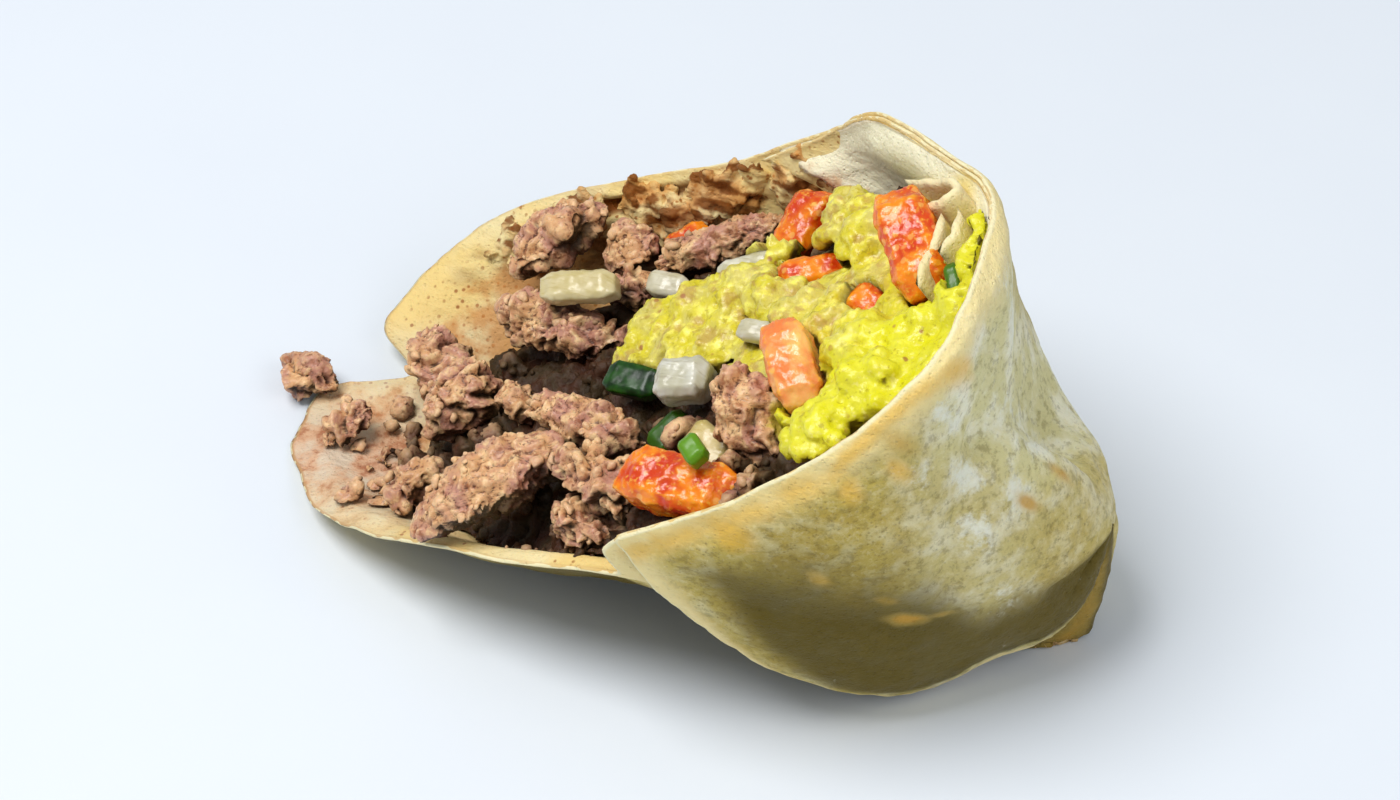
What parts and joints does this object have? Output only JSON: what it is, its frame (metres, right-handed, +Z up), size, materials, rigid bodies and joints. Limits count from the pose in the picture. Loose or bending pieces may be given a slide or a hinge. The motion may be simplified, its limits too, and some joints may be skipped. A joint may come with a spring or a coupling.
{
  "type": "burrito half",
  "caption": "Half of a filled wheat tortilla wrap cut on the slant, with chopped beef, guacamole, diced tomato, onion and green pepper showing at the cut.",
  "frame": {"origin": "on the floor under the axis of the roll, at the middle of the flat it rests on", "axes": "+X along the roll from the cut to the closed end, +Y to the back, +Z up"},
  "size_m": [0.1266, 0.0719, 0.0707],
  "materials": {
    "tortilla": "soft cooked flour dough, mottled cream and tan",
    "meat": "moist chopped cooked beef",
    "guacamole": "wet mashed avocado",
    "beef": "moist cooked beef",
    "tomato": "wet diced tomato",
    "onion": "wet diced onion",
    "pepper": "wet green pepper"
  },
  "bodies": {
    "root": {"tortilla": "tortilla", "tortilla_fold": "tortilla", "meat_filling": "meat", "guacamole": "guacamole", "beef_01": "beef", "beef_02": "beef", "beef_03": "beef", "beef_04": "beef", "beef_05": "beef", "beef_06": "beef", "beef_07": "beef", "beef_08": "beef", "beef_09": "beef", "beef_10": "beef", "beef_11": "beef", "beef_12": "beef", "beef_13": "beef", "beef_14": "beef", "beef_15": "beef", "beef_16": "beef", "tomato_01": "tomato", "tomato_02": "tomato", "tomato_03": "tomato", "tomato_04": "tomato", "tomato_05": "tomato", "tomato_06": "tomato", "tomato_07": "tomato", "onion_01": "onion", "onion_02": "onion", "onion_03": "onion", "onion_04": "onion", "onion_05": "onion", "onion_06": "onion", "pepper_01": "pepper", "pepper_02": "pepper", "pepper_03": "pepper", "pepper_04": "pepper"}
  },
  "joints": []
}
